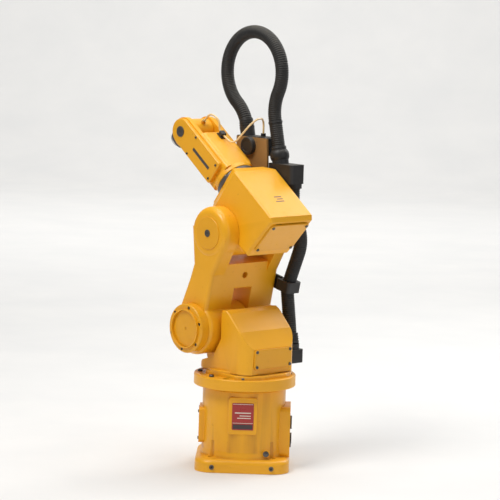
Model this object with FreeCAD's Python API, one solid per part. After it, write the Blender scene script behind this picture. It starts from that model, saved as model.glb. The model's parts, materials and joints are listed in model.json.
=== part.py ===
import FreeCAD, Part
import os
from math import sin, cos, tan, pi, radians, degrees, sqrt, atan2, acos

os.makedirs("parts", exist_ok=True)
V = FreeCAD.Vector

# ---------------------------------------------------------------- dimensions
# Small six-axis arm.  +Z up, origin at the centre of the foot on the J1 axis,
# +X is the front of the base, the connector box is on -X.
FOOT_W = 237.0          # square foot, side
FOOT_T = 33.0           # foot thickness
FOOT_R = 44.0           # foot corner radius
BOLT_SP = 160.0         # foot bolt spacing, both ways
BOLT_R = 5.5            # clearance hole for M10
COL_R = 105.0           # base column radius
BASE_TOP = 205.0
DISC_Z = 207.5          # underside of the turning disc
DISC_R = 128.5
DISC_TOP = 236.0
TIER_R = 97.0
TIER_TOP = 252.0
YAW = -46.0             # stored turn of J1, degrees

J2_X, J2_Z = 75.0, 350.0
ARM_L = 250.0           # J2 to J3
LEAN = 12.0             # upper arm leans back by this at rest
ELEV = 37.0             # forearm points up by this at rest
J4_OFF = 80.0           # J4 axis above J3
J5_X = 290.0            # J5 ahead of J3 along the forearm
TOOL_L = 80.0           # J5 to flange face
DIP = 20.0              # flange points down by this at rest

LEG_IN, LEG_OUT = 30.0, 115.0      # upper arm legs across
LEG_R = 68.0                        # lower end of a leg
THUMB_R = 66.0
THUMB_IN, THUMB_OUT = 73.0, 117.0
BOSS_HALF = 28.0                    # turret boss half width
CAP_R = 62.0
ELB_HALF = 72.0                     # elbow casting half width
HOSE_R = 17.0
TUBE_R = 2.5
PCD = 31.5                          # tool flange bolt circle
FIT = 0.05                          # running fit, radial

# ---------------------------------------------------------------- frames
def placement(origin, ang_y):
    # turn about -Y axis so that +X tips up by ang_y degrees
    return FreeCAD.Placement(V(*origin), FreeCAD.Rotation(V(0, 1, 0), -ang_y))

P_YAW = FreeCAD.Placement(V(0, 0, 0), FreeCAD.Rotation(V(0, 0, 1), YAW))
P_U = placement((J2_X, 0, J2_Z), LEAN)
J3_X = J2_X - ARM_L * sin(radians(LEAN))
J3_Z = J2_Z + ARM_L * cos(radians(LEAN))
P_F = placement((J3_X, 0, J3_Z), ELEV)
_j5 = P_F.multVec(V(J5_X, 0, J4_OFF))
P_W = placement((_j5.x, 0, _j5.z), -DIP)
ID = FreeCAD.Placement()

NODES = {}

def out(name, shape, frame="A"):
    s = shape.copy()
    if frame == "U":
        s.Placement = P_YAW.multiply(P_U).multiply(s.Placement)
    elif frame == "F":
        s.Placement = P_YAW.multiply(P_F).multiply(s.Placement)
    elif frame == "W":
        s.Placement = P_YAW.multiply(P_W).multiply(s.Placement)
    elif frame == "A":
        s.Placement = P_YAW.multiply(s.Placement)
    # frame "R" is the row frame itself
    if s.ShapeType == "Compound" and len(s.Solids) == 1:
        s = s.Solids[0]
    bb = s.BoundBox
    print("%-24s %s solids=%d valid=%s vol=%.0f  X %.0f..%.0f Y %.0f..%.0f Z %.0f..%.0f" % (
        name, frame, len(s.Solids), s.isValid(), s.Volume, bb.XMin, bb.XMax, bb.YMin, bb.YMax, bb.ZMin, bb.ZMax))
    s.exportStep("parts/%s.step" % name)
    NODES[name] = s

# ---------------------------------------------------------------- helpers
def box(x0, x1, y0, y1, z0, z1):
    return Part.makeBox(x1 - x0, y1 - y0, z1 - z0, V(x0, y0, z0))

def cyl(r, p, d, h):
    return Part.makeCylinder(r, h, V(*p), V(*d))

def cy(r, x, z, y0, y1):
    return cyl(r, (x, y0, z), (0, 1, 0), y1 - y0)

def cz(r, z0, z1, x=0, y=0):
    return cyl(r, (x, y, z0), (0, 0, 1), z1 - z0)

def cx(r, x0, x1, y=0, z=0):
    return cyl(r, (x0, y, z), (1, 0, 0), x1 - x0)

def poly_xz(pts, y0, y1):
    vs = [V(x, y0, z) for x, z in pts]
    vs.append(vs[0])
    f = Part.Face(Part.makePolygon(vs))
    return f.extrude(V(0, y1 - y0, 0))

def poly_xy(pts, z0, z1):
    vs = [V(x, y, z0) for x, y in pts]
    vs.append(vs[0])
    f = Part.Face(Part.makePolygon(vs))
    return f.extrude(V(0, 0, z1 - z0))

def fuse(*ss):
    s = ss[0].fuse(list(ss[1:])) if len(ss) > 1 else ss[0]
    return s.removeSplitter()

def clean(s):
    try:
        t = s.removeSplitter()
        if t.isNull() or not t.isValid():
            return s
        return t
    except Exception:
        return s

def fil(s, r, pick):
    es = [e for e in s.Edges if pick(e)]
    if not es:
        print("   no edges for fillet", r)
        return s
    try:
        t = s.makeFillet(r, es)
        if t.isValid() and t.Volume > 0:
            return t
    except Exception:
        pass
    for k in (0.6, 0.3):
        try:
            t = s.makeFillet(r * k, es)
            if t.isValid() and t.Volume > 0:
                print("   fillet cut to", r * k)
                return t
        except Exception:
            pass
    n = 0
    for e in list(es):
        try:
            t = s.makeFillet(r, [e])
            if t.isValid():
                n += 1
        except Exception:
            pass
    print("   fillet failed", r, len(es), "single ok", n)
    return s

def mid(e):
    return e.CenterOfMass

def par(e, d):
    if not isinstance(e.Curve, Part.Line):
        return False
    t = e.Curve.Direction
    return abs(abs(t.x * d[0] + t.y * d[1] + t.z * d[2]) - 1) < 1e-4

def rbox(x0, x1, y0, y1, z0, z1, r, axis=(0, 0, 1)):
    b = box(x0, x1, y0, y1, z0, z1)
    return b.makeFillet(r, [e for e in b.Edges if par(e, axis)])

def ring(ro, ri, p, d, h):
    return cyl(ro, p, d, h).cut(cyl(ri, (p[0] - d[0], p[1] - d[1], p[2] - d[2]), d, h + 2))

def screw(p, d, rh=4.5, hh=5.0, rs=2.5, ls=10.0, hexr=2.2):
    """socket head screw, head standing at p and pointing along d, shank the other way"""
    d = V(*d); d.normalize(); p = V(*p)
    h = Part.makeCylinder(rh, hh, p, d)
    h = h.makeFillet(min(0.6, hh * 0.2), [e for e in h.Edges if isinstance(e.Curve, Part.Circle) and (e.Curve.Center - (p + d * hh)).Length < 1e-4])
    s = Part.makeCylinder(rs, ls, p - d * ls, d)
    k = Part.makeCylinder(hexr, hh * 0.55, p + d * (hh * 0.5), d)
    return h.fuse(s).cut(k)

def hole(p, d, r, l):
    d = V(*d); d.normalize(); p = V(*p)
    return Part.makeCylinder(r, l, p - d * l, d)

def tube(pts, r, label, inner=0.0):
    """round tube along straight runs joined by tangent arcs"""
    P = [V(*p) for p in pts]
    edges = []
    a = P[0]
    radii = []
    for i in range(1, len(P) - 1):
        d0 = (P[i] - P[i - 1]); d1 = (P[i + 1] - P[i])
        l0, l1 = d0.Length, d1.Length
        u0 = V(d0.x / l0, d0.y / l0, d0.z / l0); u1 = V(d1.x / l1, d1.y / l1, d1.z / l1)
        turn = acos(max(-1, min(1, u0.dot(u1))))
        run = min(l0, l1)
        t = 0.45 * run
        R = t / tan(turn / 2)
        radii.append(R)
        s = P[i] - u0 * t
        e = P[i] + u1 * t
        bis = (u1 - u0); bis.normalize()
        c = P[i] + bis * (R / cos(turn / 2))
        m = c - bis * R
        if (s - a).Length > 1e-4:
            edges.append(Part.LineSegment(a, s).toShape())
        edges.append(Part.Arc(s, m, e).toShape())
        a = e
    edges.append(Part.LineSegment(a, P[-1]).toShape())
    w = Part.Wire(edges)
    d = P[1] - P[0]
    c = Part.Wire([Part.makeCircle(r, P[0], d)])
    s = w.makePipeShell([c], True, False)
    L = w.Length
    print("   hose %-14s length %.0f  radii %s  dia %.1f  vol/section*len %.4f" % (
        label, L, ["%.0f" % x for x in radii], 2 * r, s.Volume / (pi * r * r * L)))
    return s

def arc_tube(edges, start, d, r, label):
    w = Part.Wire(edges)
    c = Part.Wire([Part.makeCircle(r, V(*start), V(*d))])
    s = w.makePipeShell([c], True, False)
    print("   hose %-14s length %.0f vol ratio %.4f" % (label, w.Length, s.Volume / (pi * r * r * w.Length)))
    return s

# ================================================================ BASE (row frame)
foot = rbox(-FOOT_W / 2, FOOT_W / 2, -FOOT_W / 2, FOOT_W / 2, 0, FOOT_T, FOOT_R)
foot = fil(foot, 13.0, lambda e: abs(mid(e).z - FOOT_T) < 0.01)
flare = Part.makeCone(108.0, COL_R, 18.3, V(0, 0, FOOT_T - 2.0), V(0, 0, 1))
col = cz(COL_R, 10.0, BASE_TOP)
col = fil(col, 5.0, lambda e: abs(mid(e).z - BASE_TOP) < 0.01 and isinstance(e.Curve, Part.Circle))
pad = box(-36, 36, 60, 106.5, 96, 190)
pad = fil(pad, 6.0, lambda e: par(e, (0, 1, 0)))
pad = fil(pad, 2.0, lambda e: abs(mid(e).y - 106.5) < 0.01)
gboss = cyl(9.0, (-60, 60, 46), (0, 1, 0), 32.0)
cbox = rbox(-118.5, -60, -52, 52, 30, 158, 12.0, (1, 0, 0))
bat = rbox(60, 112, -40, 40, 60, 150, 8.0, (1, 0, 0))
base = foot.fuse([flare, col, pad, cbox, bat, gboss])
base = clean(base)
cuts = [cz(84.0, -1, 128.0), cz(74.0, 120.0, 210.0)]
for sx in (-1, 1):
    for sy in (-1, 1):
        cuts.append(cz(BOLT_R, -1, FOOT_T + 5, sx * BOLT_SP / 2, sy * BOLT_SP / 2))
        cuts.append(cz(10.0, FOOT_T, 74.0, sx * BOLT_SP / 2, sy * BOLT_SP / 2))
cuts.append(box(-119.5, -110.5, -44, 44, 38, 150))        # recess of the connector panel
cuts.append(rbox(-111.5, -70, -38, 38, 46, 142, 6.0, (1, 0, 0)))
cuts.append(box(106, 113, -34, 34, 66, 144))          # recess of the battery cover
cuts.append(rbox(78, 107, -28, 28, 72, 138, 5.0, (1, 0, 0)))
base = base.cut(cuts)
pan_scr = [(-118.5, sy * 38, z) for sy in (-1, 1) for z in (44, 144)]
bat_scr = [(112, sy * 29, z) for sy in (-1, 1) for z in (71, 139)]
base = base.cut([cyl(2.6, (-111.5, p[1], p[2]), (1, 0, 0), 9) for p in pan_scr] +
                [cyl(2.1, (97, p[1], p[2]), (1, 0, 0), 10) for p in bat_scr] +
                [cyl(3.1, (-60, 100, 46), (0, -1, 0), 30)])
base = clean(base)
out("base_casting", base, "R")

red = ring(73.9, 48.0, (0, 0, 139.5), (0, 0, 1), 63.5).fuse(
    ring(73.9, 61.0, (0, 0, 131.0), (0, 0, 1), 8.5)).fuse(ring(73.9, 30.0, (0, 0, 128.0), (0, 0, 1), 3.0))
red = clean(red)
out("j1_reducer", red, "R")
mot = rbox(-42, 42, -42, 42, 42, 116, 8.0).fuse([cz(50, 116, 128), rbox(-30, 30, -30, 30, 20, 42, 8.0), cz(8, 128, 132.5)])
out("j1_motor", clean(mot), "R")
out("j1_seal", ring(103, 96, (0, 0, 205), (0, 0, 1), 2.0), "R")

panel = rbox(-114.5, -110.5, -43.7, 43.7, 38.3, 149.7, 3.0, (1, 0, 0))
panel = panel.cut([cx(17, -115.5, -109.5, 0, 112), cx(14, -115.5, -109.5, -17, 68), cx(6.2, -115.5, -109.5, 16, 60), cx(6.2, -115.5, -109.5, 32, 60),
                   cx(6.2, -115.5, -109.5, 24, 80)])
panel = panel.cut([cyl(2.7, (-115.5, p[1], p[2]), (1, 0, 0), 6) for p in pan_scr])
out("connector_panel", panel, "R")

def conn(r, y, z, l, pins):
    s = cx(r - 0.2, -110.5, -102.5, y, z).fuse([cx(r - 0.1, -114.5, -110.5, y, z), cx(r + 3.5, -118.5, -114.5, y, z), cx(r, -114.5 - l, -118.5, y, z)])
    s = s.cut(cx(r - 4, -114.5 - l - 1, -114.5 - l + 9, y, z))
    ps = []
    for k in range(pins):
        a = 2 * pi * k / pins
        ps.append(cx(1.2, -114.5 - l + 2, -114.5 - l + 10, y + (r - 8) * cos(a), z + (r - 8) * sin(a)))
    return clean(s.fuse(ps))
airs = []
for y, z in ((16, 60), (32, 60), (24, 80)):
    a = cx(6.0, -121.5, -104.5, y, z).fuse(cx(6.6, -119, -114.5, y, z)).cut(cx(2.5, -122.5, -105.5, y, z))
    airs.append(a)
out("panel_connectors", Part.makeCompound([conn(17, 0, 112, 8, 8), conn(14, -17, 68, 8, 6)] + airs), "R")
bs = [screw((-114.5, p[1], p[2]), (-1, 0, 0), 4.2, 3.6, 2.45, 10) for p in pan_scr]
bs += [screw((112, p[1], p[2]), (1, 0, 0), 3.8, 2.6, 2.0, 14, 1.8) for p in bat_scr]
out("base_screws", Part.makeCompound(bs), "R")
out("ground_stud", cyl(2.9, (-60, 75, 46), (0, 1, 0), 28).fuse([cyl(6.0, (-60, 93.2, 46), (0, 1, 0), 5.6), cyl(7.5, (-60, 92, 46), (0, 1, 0), 1.2)]), "R")
plate = rbox(-27, 27, 106.5, 107.5, 108, 176, 3.0, (0, 1, 0))
out("rating_plate", plate, "R")
bcov = rbox(106, 112, -33.7, 33.7, 66.3, 143.7, 5.0, (1, 0, 0))
bcov = bcov.cut([cyl(2.3, (105, p[1], p[2]), (1, 0, 0), 8) for p in bat_scr])
out("battery_cover", bcov, "R")
out("battery_pack", rbox(86, 105, -26, 26, 76, 134, 4.0, (1, 0, 0)), "R")

# ================================================================ TURRET (arm frame)
disc = cz(DISC_R, DISC_Z, DISC_TOP)
disc = fil(disc, 4.0, lambda e: isinstance(e.Curve, Part.Circle) and mid(e).z > DISC_TOP - 1)
disc = fil(disc, 2.0, lambda e: isinstance(e.Curve, Part.Circle) and mid(e).z < DISC_Z + 1)
tier = cz(TIER_R, DISC_TOP - 2, TIER_TOP)
tier = fil(tier, 3.0, lambda e: isinstance(e.Curve, Part.Circle) and mid(e).z > TIER_TOP - 1)
prof = [(-97, 248), (-99, 312), (-72, 354), (-30, 396), (-18, 403), (-4, 402), (0, 392), (0, 330), (30, 280), (68, 268), (90, 248)]
shell = poly_xz(prof, -88, 88)
foot_print = rbox(-101, 92, -88, 88, 245, 410, 38.0)
shell = shell.common(foot_print)
# flare at the shell's foot
skirt = cz(118, DISC_TOP - 2, 246).common(rbox(-112, 70, -96, 96, 230, 250, 46.0))
skirt = fil(skirt, 3.0, lambda e: abs(mid(e).z - 246) < 0.01)
web = poly_xz([(-5, 248), (-5, 380), (30, 392), (60, 404), (75, 409), (134, 350), (112, 262), (92, 248)], -BOSS_HALF, BOSS_HALF)
boss = cy(60.0, J2_X, J2_Z, -BOSS_HALF, BOSS_HALF)
web = clean(web.fuse(boss))
turret = disc.fuse([tier, skirt, shell, web])
turret = clean(turret)
cav = poly_xz([(-84, 264), (-86, 308), (-62, 345), (-24, 385), (-14, 385), (-14, 322), (8, 290), (8, 264)], -74, 74)
turret = turret.cut([cz(48.0, DISC_Z - 1, 218), cz(30.0, 200, 266),
                     cav, cy(29.2, J2_X, J2_Z, -24, BOSS_HALF + 1),
                     box(-104, -80, -52, 52, 270, 306)])
tb = []
for k in range(8):
    a = radians(22.5 + 45 * k)
    tb.append((113.0 * cos(a), 113.0 * sin(a)))
tb = [p for p in tb if not (p[0] < 20 and abs(p[1]) < 92)]
turret = turret.cut([cz(8.2, DISC_TOP - 9, DISC_TOP + 12, x, y) for x, y in tb] + [cz(4.2, DISC_TOP - 20, DISC_TOP, x, y) for x, y in tb])
rc_scr = [(-56, 268), (56, 268), (-56, 306), (56, 306)]
turret = turret.cut([cyl(2.1, (-104, y, z), (1, 0, 0), 18) for y, z in rc_scr])
turret = clean(turret)
turret = fil(turret, 5.0, lambda e: isinstance(e.Curve, Part.Line) and mid(e).z > 300 and abs(abs(mid(e).y) - 88) < 0.5 and e.Length > 8)
out("turret_casting", turret)
hub = cz(48.0 - FIT, 139.0, 217.5).fuse(cz(60.0, 133.0, 139.0)).cut(cz(12.0, 130, 220))
out("j1_hub", clean(hub))
rc = rbox(-103.5, -99.3, -62, 62, 262, 311, 8.0, (1, 0, 0))
rc = fil(rc, 1.2, lambda e: abs(mid(e).x + 103.5) < 0.01)
rc = rc.cut([cyl(2.3, (-105, y, z), (1, 0, 0), 8) for y, z in rc_scr])
# the rear face leans by two parts in sixty-four
out("turret_rear_cover", rc)
out("turret_screws", Part.makeCompound([screw((x, y, DISC_TOP - 9), (0, 0, 1), 6.6, 6.8, 4.0, 10, 3.4) for x, y in tb] +
    [screw((-103.5, y, z), (-1, 0, 0), 4.0, 2.4, 2.0, 12, 1.8) for y, z in rc_scr]))
out("j2_motor", cy(29.0, J2_X, J2_Z, -23.5, 28.0))
jr = cy(52.0 - FIT, J2_X, J2_Z, 28.0, 106.0).fuse(cy(30.0, J2_X, J2_Z, 106.0, 111.0))
jr = fil(clean(jr), 1.5, lambda e: isinstance(e.Curve, Part.Circle) and mid(e).y > 105 )
out("j2_reducer", jr)
tr = cy(35.0 - FIT, J2_X, J2_Z, -92.0, -28.0)
out("j2_trunnion", fil(tr, 1.5, lambda e: isinstance(e.Curve, Part.Circle) and mid(e).y < -91))
# gland block of the hose pack on the turret's right side
GX, GY = -40.0, -120.0
gl = rbox(GX - 24, GX + 24, GY - 24, -88, 258, 292, 8.0)
gl = gl.fuse([cz(21.0, 292, 306, GX, GY)])
HX, HY, HZ = -68.0, -126.0, 118.0        # hose clamp, in the upper arm's frame
def UA(x, y, z):
    v = P_U.multVec(V(x, y, z))
    return (v.x, v.y, v.z)
lower_pts = [(GX, GY, 290.2), (-30, -123, 350), UA(HX, HY, HZ - 11)]
lower = tube(lower_pts, HOSE_R, "lower hose")
out("lower_hoses", lower)
out("turret_gland", clean(gl.cut([lower])))

# ================================================================ UPPER ARM (frame U, origin at J2, z along the arm)
leg_prof = [(-36, 0), (-36, 250), (36, 250), (36, 178), (44, 118), (60, 44), (64, 14), (60, 0)]
thumb_prof = [(-40, 178), (-40, 250), (40, 250), (40, 178)]
def leg(s):
    y0, y1 = sorted((s * LEG_IN, s * LEG_OUT))
    lo = poly_xz([(-36, 0), (-36, 176), (36, 176), (44, 118), (60, 44), (64, 14), (60, 0)], y0, y1)
    lo = lo.fuse(cy(LEG_R, 0, 0, y0, y1))
    lo = clean(lo)
    t0, t1 = sorted((s * THUMB_IN, s * LEG_OUT))
    up = poly_xz([(-36, 150), (-62, 232), (-62, 250), (62, 250), (62, 232), (36, 150)], t0, t1)
    up = up.common(box(-80, 80, t0, t1, 150, 250))
    w0, w1 = sorted((s * THUMB_IN, s * THUMB_OUT))
    th = cy(THUMB_R, 0, ARM_L, w0, w1)
    th = fil(th, 17.0, lambda e: isinstance(e.Curve, Part.Circle) and abs(mid(e).y - s * THUMB_OUT) < 0.01)
    return lo, up, th

def full_leg(s):
    lo, up, th = leg(s)
    lo = fil(lo, 11.0, lambda e: abs(abs(mid(e).y) - LEG_OUT) < 0.01 and mid(e).z > -80)
    up = fil(up, 11.0, lambda e: abs(abs(mid(e).y) - LEG_OUT) < 0.01 and par(e, (0, 0, 1)) is False and isinstance(e.Curve, Part.Line) and abs(mid(e).z - 250) > 1 and abs(mid(e).z - 150) > 1)
    g = lo.fuse([up, th])
    return clean(g)

legL = full_leg(1)
legR = full_leg(-1)
J3R, J3P = 42.0, 30.0   # radii of the J3 stubs, left and right
legL = legL.cut([cy(52.0, 0, 0, 29, 112), cy(J3R + 6, 0, ARM_L, 72, 104)])
legR = legR.cut([cy(35.0, 0, 0, -96, -29), cy(J3P + 6, 0, ARM_L, -104, -72)])
tie = [(-20, 122), (22, 122), (-20, 160), (20, 160)]
legR = legR.cut([cy(5.2, x, z, -116, -29) for x, z in tie] + [cy(8.2, x, z, -116, -106) for x, z in tie])
legL = legL.cut([cy(5.2, x, z, 29, 60) for x, z in tie])
cap_h = []
for k in range(6):
    a = radians(30 + 60 * k)
    cap_h.append((54 * cos(a), 54 * sin(a)))
legL = legL.cut([cy(2.1, x, z, 100, 116) for x, z in cap_h])
out("upper_arm_left", legL, "U")
out("upper_arm_right", legR, "U")
xb = poly_xz([(-36, 108), (-36, 176), (36, 176), (45, 108)], -LEG_IN, LEG_IN)
xb = fil(xb, 6.0, lambda e: abs(mid(e).z - 108) < 0.01 and par(e, (0, 1, 0)))
xb = xb.cut([cx(8.5, -40, 60, 0, 144)] + [cy(5.2, x, z, -31, 31) for x, z in tie])
out("arm_crossbeam", clean(xb), "U")
out("arm_tie_bolts", Part.makeCompound([cy(4.9, x, z, -106.5, 58).fuse(cy(7.6, x, z, -115, -106)).cut(cy(3.6, x, z, -116, -110)) for x, z in tie]), "U")

cap = cy(CAP_R, 0, 0, 115.0, 139.0)
cap = fil(cap, 4.0, lambda e: isinstance(e.Curve, Part.Circle) and abs(mid(e).y - 139) < 0.01)
cap = cap.cut([cy(40.0, 0, 0, 114, 128), cy(46.0, 0, 0, 134, 140)])
cap = cap.cut([cy(2.3, x, z, 114, 140) for x, z in cap_h] + [cy(4.4, x, z, 134, 140) for x, z in cap_h])
out("j2_cap", clean(cap), "U")
cap2 = cy(45.7, 0, 0, 134.0, 137.0).cut(cy(4.0, 0, 0, 136, 138))
cap2 = fil(cap2, 0.8, lambda e: isinstance(e.Curve, Part.Circle) and abs(mid(e).y - 137) < 0.01 and e.Curve.Radius > 20)
out("j2_cap_lid", Part.makeCompound([cap2, ring(49.2, 46.1, (0, 139.0, 0), (0, 1, 0), 5.0)]), "U")
rcap = cy(46.0, 0, 0, -124.0, -115.0)
rcap = fil(rcap, 4.0, lambda e: isinstance(e.Curve, Part.Circle) and abs(mid(e).y + 124) < 0.01)
out("j2_cap_right", rcap, "U")
# stubs that carry the elbow, held in the thumbs
st = fuse(cy(J3R - FIT, 0, ARM_L, 30, 73.0), cy(J3R + 5.8, 0, ARM_L, 73.0, 103.8))
out("j3_reducer", st, "U")
st2 = fuse(cy(J3P - FIT, 0, ARM_L, -73.0, -40), cy(J3P + 5.8, 0, ARM_L, -103.8, -73.0))
out("j3_pin", st2, "U")
j3c = []
for s in (1, -1):
    y0, y1 = sorted((s * 117.0, s * 119.2))
    c = cy(41.0, 0, ARM_L, y0, y1)
    c = fil(c, 1.5, lambda e: isinstance(e.Curve, Part.Circle) and abs(mid(e).y - s * 119.2) < 0.01)
    k0, k1 = sorted((s * 118.0, s * 120))
    c = c.cut(cy(5.0, 0, ARM_L, k0, k1))
    j3c.append(c)
out("j3_caps", Part.makeCompound(j3c), "U")
# hose clamp behind the right leg
cl = rbox(HX - 24, HX + 24, HY - 24, HY + 22, HZ - 14, HZ + 14, 8.0)
cl = cl.fuse([box(-50, 14, -121, -115, 100, 136)])
cl = cl.cut([cz(21.0, HZ - 15, HZ - 3, HX, HY)])
mid_pts = [UA(HX, HY, HZ - 1.5), (-64, -128, 572), (-50, -102, 652), (-50, -102, 703.5)]
mid_hose = tube(mid_pts, HOSE_R, "mid hose")
mh = mid_hose.copy()
mh.Placement = P_U.inverse().multiply(mh.Placement)
cl = cl.cut([mh])
cl = cl.cut([cyl(3.1, (0, -122, z), (0, 1, 0), 8) for z in (108, 128)])
out("hose_clamp", clean(cl), "U")
out("arm_screws", Part.makeCompound([screw((x, 134.0, z), (0, 1, 0), 4.0, 3.6, 2.0, 30, 1.8) for x, z in cap_h] +
    [screw((0, -121, z), (0, -1, 0), 5.0, 5.0, 2.9, 5.9, 2.4) for z in (108, 128)]), "U")

# ================================================================ ELBOW (frame F, origin at J3, x along the forearm)
ez = J4_OFF
eprof = [(-105, 17), (-118, 140), (-109, 150), (60, 150), (86, 136), (86, 24), (58, 8), (0, 8)]
elb = poly_xz(eprof, -ELB_HALF, ELB_HALF)
lobe = cy(60.0, 0, 0, -ELB_HALF, ELB_HALF)
low = poly_xz([(-60, 0), (-60, 30), (58, 30), (58, 8), (60, 0)], -ELB_HALF, ELB_HALF)
elb = clean(elb.fuse([lobe, low]))
elb = fil(elb, 7.0, lambda e: abs(abs(mid(e).y) - ELB_HALF) < 0.01 and isinstance(e.Curve, Part.Line) and mid(e).z > 12)
# the front narrows to the forearm
for s in (-1, 1):
    elb = elb.cut(poly_xy([(58, s * 73), (90, s * 73), (90, s * 52), (84, s * 52)], -70, 160))
elb = elb.cut([cx(45.1, 38, 90, 0, ez),                    # J4 gear
               rbox(-100, 30, -58, 58, ez - 42, 138, 8.0, (1, 0, 0)),  # motor room
               cy(J3R, 0, 0, 29, 73), cy(J3P, 0, 0, -73, -39),
               rbox(-126, -90, -54, 54, 44, 134, 8.0, (1, 0, 0)),      # rear opening
               cy(36.0, 0, 0, -38.5, 20), cx(30, 25, 45, 0, ez)])
# holes for the front ring
rb = []
for k in range(8):
    a = radians(22.5 + 45 * k)
    rb.append((49.5 * cos(a), ez + 49.5 * sin(a)))
ec_scr = [(-60, 50), (60, 50), (-60, 128), (60, 128), (0, 36), (0, 142)]
elb = elb.cut([cx(1.6, 74, 88, y, z) for y, z in rb])
elb = clean(elb)
out("elbow_casting", elb, "F")
fr = ring(53.5, 45.4, (86.0, 0, ez), (1, 0, 0), 11.5)
fr = fr.cut([cx(1.8, 85, 99, y, z) for y, z in rb])
out("j4_ring", clean(fr), "F")
r4 = ring(45.0, 30.0, (50.5, 0, ez), (1, 0, 0), 46.5).fuse([ring(45.0, 38.6, (43.5, 0, ez), (1, 0, 0), 7.0), ring(45.0, 12.0, (38.0, 0, ez), (1, 0, 0), 5.5)])
out("j4_reducer", clean(r4), "F")
# rear cover follows the leaning rear face
ang = degrees(atan2(13.0, 123.0))
cv = rbox(-5.0, 0.0, -64, 64, 20, 116, 10.0, (1, 0, 0))
cv = fil(cv, 1.5, lambda e: abs(mid(e).x + 5.0) < 0.01)
cvs = [(-56, 28), (56, 28), (-56, 108), (56, 108)]
cv = cv.cut([cyl(2.3, (-6, y, z), (1, 0, 0), 8) for y, z in cvs])
scs = Part.makeCompound([screw((-5.0, y, z), (-1, 0, 0), 4.0, 2.6, 2.0, 5.0, 1.8) for y, z in cvs])
pc = FreeCAD.Placement(V(-105.2, 0, 17), FreeCAD.Rotation(V(0, 1, 0), -ang))
cv.Placement = pc
scs.Placement = pc
out("elbow_rear_cover", cv, "F")
rs4 = [screw((97.5, y, z), (1, 0, 0), 3.2, 2.6, 1.5, 20, 1.3) for y, z in rb]
ec = [x.copy() for x in scs.Solids]
out("elbow_screws", Part.makeCompound(ec + rs4), "F")
out("j3_motor", cy(32.0, 0, 0, -36, 19.5), "F")
m4 = rbox(-74, 14, -28, 28, ez - 28, ez + 28, 5.0, (1, 0, 0)).fuse([cx(29.5, 14, 38, 0, ez)])
m4 = fuse(m4, cx(7.0, 38, 43, 0, ez))
out("j4_motor", m4, "F")

def A2F(x, z):
    v = P_F.inverse().multVec(V(x, 0, z))
    return v.x, v.z

# hose inlet block on the right side of the elbow, square to the world
LOOP_Y = -97.0
XR, XL = -6.0, 118.0
ib = rbox(-72, 16, -120, -72.0, 716, 764, 8.0)
TILT = radians(13.0)                 # the loop leans forward
lt = (sin(TILT), 0, cos(TILT))
def along(p, k):
    return (p[0] + lt[0] * k, p[1] + lt[1] * k, p[2] + lt[2] * k)
PR, PL = (XR, LOOP_Y, 764.0), (XL, LOOP_Y, 826.0)
ib = ib.fuse([cyl(21.0, along(PR, -8), lt, 24.0), cyl(21.0, (-50, -102, 716), (0.0, 0, -1), 12.0)])
ib = ib.cut([cyl(HOSE_R, along(PR, -8), lt, 26.0)])
out("elbow_inlet", clean(ib))
br = poly_xz([(-16, 700), (36, 700), (134, 782), (134, 824), (22, 824), (18, 768), (18, 712), (-16, 708)], -78, -72.0)
br = br.cut([cy(3.3, x, z, -79, -71) for x, z in ((24, 704 + 8), (40, 716))])
out("junction_bracket", clean(br))
jb = rbox(31, 140, -119, -78, 778, 826, 5.0, (0, 1, 0))
jb = jb.fuse([cyl(18.8, along(PL, -8), lt, 24.0), cy(9, 50, 802, -122, -110), cy(9, 80, 802, -122, -110),
              cyl(6.5, (64, -100, 820), (0, 0, 1), 14)])
jb = jb.cut([cyl(HOSE_R, along(PL, -8), lt, 26.0), cyl(TUBE_R, (64, -100, 829.9), (0, 0, 1), 11)])
out("junction_block", clean(jb))

# the loop: two upright hoses and a wide arch, bend radius three diameters
R = 3 * 2 * HOSE_R
dx, dz = XL - XR, PL[2] - PR[2]
half = (dx * cos(TILT) - dz * sin(TILT)) / 2.0
rise = dx * sin(TILT) + dz * cos(TILT)
ph = acos((half + R) / (2 * R))
H0 = rise + 22.0                     # where the straight legs end
def lp(x, h):
    # loop plane: x across from the mid line, h along the leaning legs
    return V(XR + (x + half) * cos(TILT) + h * sin(TILT), LOOP_Y, PR[2] - (x + half) * sin(TILT) + h * cos(TILT))
h1, hc = H0 + R * sin(ph), H0 + 2 * R * sin(ph)
E = [Part.LineSegment(lp(-half, -7.8), lp(-half, H0)).toShape(),
     Part.Arc(lp(-half, H0), lp(-half - R + R * cos(ph / 2), H0 + R * sin(ph / 2)), lp(-half - R + R * cos(ph), h1)).toShape(),
     Part.Arc(lp(-R * cos(ph), h1), lp(0, hc + R), lp(R * cos(ph), h1)).toShape(),
     Part.Arc(lp(half + R - R * cos(ph), h1), lp(half + R - R * cos(ph / 2), H0 + R * sin(ph / 2)), lp(half, H0)).toShape(),
     Part.LineSegment(lp(half, H0), lp(half, rise - 7.8)).toShape()]
print("   loop bend radius", R, "neck turn", degrees(ph))
st0 = lp(-half, -7.8)
loop = arc_tube(E, (st0.x, st0.y, st0.z), lt, HOSE_R, "hose loop")
out("hose_loop", loop)

out("mid_hose", mid_hose)

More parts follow.
